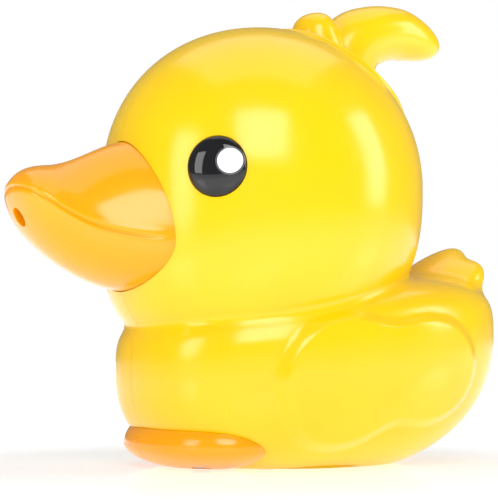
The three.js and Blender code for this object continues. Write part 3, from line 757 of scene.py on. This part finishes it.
def shell_openings():
    """What is cut from the skin for the base, the lid, the beak, the eyes and the screws."""
    yield shifted(rod(BASE["r"] + GAP, -5, BASE["thick"] + GAP, 96), well_x)
    yield shifted(rod(BASE["opening"], -5, 30, 96), well_x)
    yield moved(rod(LID_R + 0.25, COLLAR_LOW, 70, 128), filler_frame())
    yield bill_mesh(BEAK_SEAM, BEAK["back_x"] - 1, 160, 80)
    for side in (-1, 1):
        seat_r = EYE_R + EYE_SEAT["clearance"]
        seat = [*arc_corners(HEAD_R - EYE_SEAT["depth"], 0, seat_r, 8),
                (seat_r, EYE_SHANK["out"]), (0, EYE_SHANK["out"])]
        yield moved(rod(EYE_SHANK["bore"], EYE_SHANK["in"], EYE_SHANK["out"], 24), eye_frame(side))
        yield moved(turned(seat), eye_frame(side))
        pilot = rod(FOOT_BOSS["pilot"], -5, FOOT_BOSS["pilot_top"], 16)
        yield shifted(pilot, FOOT_SCREW["x"], side * FOOT_SCREW["y"])
    for x, y in base_screw_places():
        yield shifted(rod(BASE["screw_bore"], -5, BASE["screw_top"], 16), x, y)


def make_shells():
    outer = cut(outer_skin(), block(-FAR, FAR, -FAR, FAR, -60, 0))
    shell = cut(cut(outer, shell_cavity()), *shell_openings())
    halves = {"left": (-FAR, -SEAM / 2), "right": (SEAM / 2, FAR)}
    for name, (low, high) in halves.items():
        half = kept(shell.copy(), block(-FAR, FAR, low, high, -60, 250))
        bores = [cross_rod(radius, x, z, start, end) for x, z in SHELL_BOSSES
                 for radius, start, end in BOSS_BORES[name]]
        half = follow_field(shaded(cut(half, *bores), 30), skin_field)
        add_piece(f"{name}_half_shell", half, "hull", "shell_yellow", f"{name}_shell")


# ---- feet -----------------------------------------------------------------------------------
def foot_surface(u, v):
    heading, pitch = 2 * np.pi * u, np.pi * (0.5 - v)
    flat = np.cos(pitch)
    x = FOOT["half"][0] * flat * np.cos(heading)
    y = FOOT["half"][1] * flat * np.sin(heading)
    z = np.where(pitch < 0, FOOT["down"], FOOT["up"]) * np.sin(pitch)
    return np.stack([x, y, z], axis=1)


def make_feet():
    """One oval under the breast, cut into two feet at the middle plane."""
    for name, side in (("left", -1), ("right", 1)):
        oval = shifted(wrapped(foot_surface, 192, 96), FOOT["x"], 0, FOOT["z"])
        own = (-80, -SEAM / 2) if side < 0 else (SEAM / 2, 80)
        foot = kept(oval, block(-80, 40, *own, 0, 40))
        x, y = FOOT_SCREW["x"], side * FOOT_SCREW["y"]
        foot = cut(foot, body_mesh(0.2, 160, 80),
                   shifted(rod(BASE["r"] + 2 * GAP, -5, 10, 96), well_x),
                   shifted(rod(FOOT_SCREW["clearance"], -5, 30, 24), x, y),
                   shifted(rod(FOOT_SCREW["head"], -5, FOOT_SCREW["head_top"], 32), x, y))
        add_piece(f"{name}_moulded_foot", shaded(foot, 35), "hull", "trim_orange", f"{name}_foot")


# ---- eyes -----------------------------------------------------------------------------------
EYE_TOP = HEAD_R + EYE_PROUD
EYE_RIM = math.sqrt(HEAD_R ** 2 - EYE_R ** 2) + 0.2


def dome_height(radius):
    return EYE_RIM + (EYE_TOP - EYE_RIM) * np.sqrt(np.maximum(0, 1 - (radius / EYE_R) ** 2))


def dome_patch(inner, outer, lift, name):
    """A thin patch on the dome, between two radii about the dot's middle: used for the printed dot
    and for the grey ring of painted reflection round it.
    """
    steps, segments = 10, 64
    vertices, faces = [], []
    for level in (lift, -0.05):
        for i in range(steps + 1):
            radius = inner + (outer - inner) * i / steps
            for j in range(segments):
                angle = 2 * math.pi * j / segments
                x = DOT["back"] + radius * math.cos(angle)
                y = DOT["up"] + radius * math.sin(angle)
                vertices.append((x, y, float(dome_height(math.hypot(x, y))) + level))
    row = (steps + 1) * segments
    for j in range(segments):
        k = (j + 1) % segments
        for i in range(steps):
            a, b = i * segments, (i + 1) * segments
            faces.append((a + j, b + j, b + k, a + k))
            faces.append((row + a + k, row + b + k, row + b + j, row + a + j))
        last = steps * segments
        faces.append((last + j, row + last + j, row + last + k, last + k))
        faces.append((k, row + k, row + j, j))
    return outward(make_mesh(vertices, faces, name))


def make_eyes():
    white = plastic("printed_white", (0.80, 0.82, 0.84), (0.88, 0.90, 0.91), rough=(0.12, 0.2))
    # the grey below is painted reflection: a lighter ring standing in for light caught at the
    # printed dot's raised edge
    grey = plastic("painted_reflection_ring", (0.10, 0.10, 0.11), (0.16, 0.16, 0.17), rough=(0.1, 0.2))
    for name, side in (("left", -1), ("right", 1)):
        angles = [math.pi / 2 * i / 20 for i in range(21)]
        dome = [(EYE_R * math.sin(a), EYE_RIM + (EYE_TOP - EYE_RIM) * math.cos(a)) for a in angles]
        seat = arc_corners(HEAD_R - 0.8, EYE_R, 3, 2)
        mesh = turned([*dome, *seat, (3, 45), (0, 45)], 96)
        frame_of_eye = eye_frame(side)
        add_piece(f"{name}_eye_dome", shaded(mesh, 40), "hull", "eye_black", f"{name}_eye",
                  matrix=frame_of_eye)
        dot = dome_patch(0.001, DOT["r"], 0.06, "dot")
        add_piece(f"{name}_eye_dot", shaded(dot, 40), "hull", "inner_white", mat=white,
                  matrix=frame_of_eye)
        # a grey ring of painted reflection round the printed dot, standing in for light caught at
        # its raised edge
        ring = dome_patch(*(DOT["r"] + gap for gap in DOT_REFLECTION_RING), 0.05, "ring")
        add_piece(f"{name}_eye_reflection_ring", shaded(ring, 40), "hull", "eye_black", mat=grey,
                  matrix=frame_of_eye)


# ---- lid and crest --------------------------------------------------------------------------
def sector(inner, outer, start, end, low, high, steps=8):
    """A ring sector between two radii and two angles in degrees."""
    angles = [math.radians(start + (end - start) * i / steps) for i in range(steps + 1)]
    ring = [(outer * math.cos(a), outer * math.sin(a)) for a in angles]
    ring += [(inner * math.cos(a), inner * math.sin(a)) for a in reversed(angles)]
    count = len(ring)
    vertices = [(x, y, low) for x, y in ring] + [(x, y, high) for x, y in ring]
    faces = [tuple(range(count)), tuple(range(2 * count - 1, count - 1, -1))]
    for i in range(count):
        j = (i + 1) % count
        faces.append((i, j, count + j, count + i))
    return outward(make_mesh(vertices, faces))


def make_lid():
    top = HEAD_R + LID_PROUD
    dome = arc_corners(top, 0, LID_R - LID_EDGE, 24)
    rim_z = dome[-1][1]
    steps = 6
    for i in range(1, steps + 1):
        angle = math.pi / 2 * i / steps
        radius = LID_R - LID_EDGE + LID_EDGE * math.sin(angle)
        drop = LID_EDGE * (1 - math.cos(angle)) + 0.25 * i / steps
        dome.append((radius, rim_z - drop))
    profile = [*dome, (LID_R, LID_SEAT_Z), (SKIRT["outer"], LID_SEAT_Z),
               (SKIRT["outer"], SKIRT["low"]), (SKIRT["inner"], SKIRT["low"]),
               *arc_corners(top - LID_WALL, SKIRT["inner"], 0, 10)]
    lid = turned(profile, 128)
    for i in range(LUG["count"]):
        middle = 360 / LUG["count"] * i
        lug = sector(SKIRT["outer"] - 1, LUG["outer"], middle - LUG["half_angle"],
                     middle + LUG["half_angle"], LUG["low"], LUG["high"])
        lid = joined(lid, lug)
    lid = cut(lid, *[shifted(rod(CREST_BORE["lid"], 40, 70, 24), u) for u in CREST_SCREWS])
    add_piece("lid_cap", shaded(lid, 30), "lid_assembly", "shell_yellow", "lid",
              matrix=filler_frame())


def catmull_rom(points, t):
    """A uniform Catmull-Rom curve through the points, for an array of t from 0 to 1."""
    points = np.array(points, float)
    last = len(points) - 1
    ends = np.vstack([2 * points[0] - points[1], points, 2 * points[-1] - points[-2]])
    place = np.clip(t, 0, 1) * last
    i = np.minimum(place.astype(int), last - 1)
    f = (place - i)[:, None]
    a, b, c, d = ends[i], ends[i + 1], ends[i + 2], ends[i + 3]
    return 0.5 * (2 * b + (c - a) * f + (2 * a - 5 * b + 4 * c - d) * f ** 2
                  + (3 * b - a - 3 * c + d) * f ** 3)


def horn_mesh(stations, around=64, along=56):
    """A curved lobe with rounded ends, through (x, z, half thickness, half width) stations."""
    def point(u, v):
        t = 0.5 - 0.5 * np.cos(np.pi * v)
        here = catmull_rom(stations, t)
        step = 0.004
        ahead = catmull_rom(stations, t + step) - catmull_rom(stations, t - step)
        x, z, thick, wide = here.T
        run = ahead[:, :2] / (np.linalg.norm(ahead[:, :2], axis=1, keepdims=True) + TINY)
        cap = np.sqrt(np.maximum(0, 1 - (2 * t - 1) ** 8))
        angle = 2 * np.pi * u
        side = thick * cap * np.cos(angle)
        return np.stack([x - run[:, 1] * side, wide * cap * np.sin(angle), z + run[:, 0] * side],
                        axis=1)
    return wrapped(point, around, along)


def make_crest():
    crest = remeshed([horn_mesh(CREST_FRONT), horn_mesh(CREST_REAR)],
                     CREST_VOXEL["full"], 14)
    crest.transform(filler_frame().inverted())

    def point(u, v):
        heading, pitch = 2 * np.pi * u, np.pi * (0.5 - v)
        r = HEAD_R + LID_PROUD + 0.12
        return np.stack([r * np.cos(pitch) * np.cos(heading), r * np.cos(pitch) * np.sin(heading),
                         r * np.sin(pitch)], axis=1)
    crest = cut(crest, wrapped(point, 192, 96),
                *[shifted(rod(CREST_BORE["crest"], 50, 66, 24), u) for u in CREST_SCREWS])
    add_piece("crest_plume", shaded(crest, 45), "lid_assembly", "shell_yellow", "crest",
              matrix=filler_frame())


# ---- stage ----------------------------------------------------------------------------------
# The floor glows a little, more with distance, so that it stays pale out to the horizon.
FLOOR_GLOW = {"From Min": 0.10, "From Max": 0.30, "To Min": 0.50, "To Max": 1.0}
FLOOR_HALF = 6.0
FLOOR_BELOW = 0.0002
FILL_STRENGTH = 0.24
# name, place, width, height and power of each soft box
SOFT_BOXES = [("key", (-0.42, -0.80, 0.62), 0.60, 0.60, 6.2),
              ("side", (0.75, -0.50, 0.42), 0.30, 0.62, 2.8),
              ("front", (-1.0, -0.10, 0.35), 0.30, 0.50, 2.0),
              ("top", (0.1, 0.2, 1.2), 1.2, 1.2, 4.6)]
LIT_POINT = (0.0, 0.0, 0.08)
CAMERA = {"heading": -29, "away": 600, "up": 39, "lens": 122.8, "sensor": 36,
          "aim": (-0.0040, 0.0022, 0.0750)}


def make_floor():
    mat, nodes, links, shader = node_material("pale_floor")
    drift = object_noise(nodes, links, 3.0)
    colour = ramp_between(nodes, links, drift.outputs["Fac"], (0.93,) * 3, (0.95,) * 3)
    links.new(colour.outputs["Color"], shader.inputs["Base Color"])
    shader.inputs["Roughness"].default_value = 0.12
    shader.inputs["Emission Color"].default_value = (1, 1, 1, 1)
    place = nodes.new("ShaderNodeTexCoord")
    away = nodes.new("ShaderNodeVectorMath")
    away.operation = "LENGTH"
    links.new(place.outputs["Object"], away.inputs[0])
    glow = nodes.new("ShaderNodeMapRange")
    for name, value in FLOOR_GLOW.items():
        glow.inputs[name].default_value = value
    links.new(away.outputs["Value"], glow.inputs["Value"])
    links.new(glow.outputs["Result"], shader.inputs["Emission Strength"])
    # the underside is clear, so that the duck's base can be seen from below
    seen_from = nodes.new("ShaderNodeNewGeometry")
    clear = nodes.new("ShaderNodeBsdfTransparent")
    side = nodes.new("ShaderNodeMixShader")
    links.new(seen_from.outputs["Backfacing"], side.inputs["Fac"])
    links.new(shader.outputs["BSDF"], side.inputs[1])
    links.new(clear.outputs["BSDF"], side.inputs[2])
    links.new(side.outputs["Shader"], nodes["Material Output"].inputs["Surface"])
    mesh = bpy.data.meshes.new("floor")
    signs = [(-1, -1), (1, -1), (1, 1), (-1, 1)]
    mesh.from_pydata([(x * FLOOR_HALF, y * FLOOR_HALF, 0) for x, y in signs], [], [(0, 1, 2, 3)])
    mesh.materials.append(mat)
    floor = as_object(mesh, "floor")
    floor.location.z = cad_box[0].z - FLOOR_BELOW
    floor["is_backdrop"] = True


def soft_box(name, place, width, height, power):
    light = bpy.data.lights.new(name, "AREA")
    light.shape = "RECTANGLE"
    light.size, light.size_y = width, height
    light.energy = power
    obj = bpy.data.objects.new(name, light)
    bpy.context.scene.collection.objects.link(obj)
    obj.location = place
    towards = Vector(LIT_POINT) - Vector(place)
    obj.rotation_euler = towards.to_track_quat("-Z", "Y").to_euler()


def make_lights():
    world = bpy.data.worlds.new("studio")
    bpy.context.scene.world = world
    world.use_nodes = True
    nodes, links = world.node_tree.nodes, world.node_tree.links
    backdrop = nodes["Background"]
    fill = nodes.new("ShaderNodeBackground")
    for background, strength in ((backdrop, 1.0), (fill, FILL_STRENGTH)):
        background.inputs["Color"].default_value = (1, 1, 1, 1)
        background.inputs["Strength"].default_value = strength
    seen = nodes.new("ShaderNodeLightPath")
    mix = nodes.new("ShaderNodeMixShader")
    links.new(seen.outputs["Is Camera Ray"], mix.inputs["Fac"])
    links.new(fill.outputs["Background"], mix.inputs[1])
    links.new(backdrop.outputs["Background"], mix.inputs[2])
    links.new(mix.outputs["Shader"], nodes["World Output"].inputs["Surface"])
    for row in SOFT_BOXES:
        soft_box(*row)


def make_camera():
    """Looks at the duck's left side, turned towards its front."""
    heading, away = math.radians(CAMERA["heading"]), CAMERA["away"]
    axis = Vector((head_x * MM, 0, 0))
    camera = bpy.data.cameras.new("camera")
    camera.sensor_width = CAMERA["sensor"]
    camera.lens = CAMERA["lens"]
    obj = bpy.data.objects.new("camera", camera)
    bpy.context.scene.collection.objects.link(obj)
    offset = Vector((math.sin(heading) * away, -math.cos(heading) * away, CAMERA["up"])) * MM
    obj.location = axis + offset
    towards = axis + Vector(CAMERA["aim"]) - obj.location
    obj.rotation_euler = towards.to_track_quat("-Z", "Y").to_euler()
    bpy.context.scene.camera = obj


bpy.context.scene.view_settings.view_transform = "Standard"
finish_cad_nodes()
make_shells()
make_beak()
make_feet()
make_eyes()
make_lid()
make_crest()
make_floor()
make_lights()
make_camera()

boxes = {"cad": cad_box, "visual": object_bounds()}
{name: [list(low), list(high)] for name, (low, high) in boxes.items()}
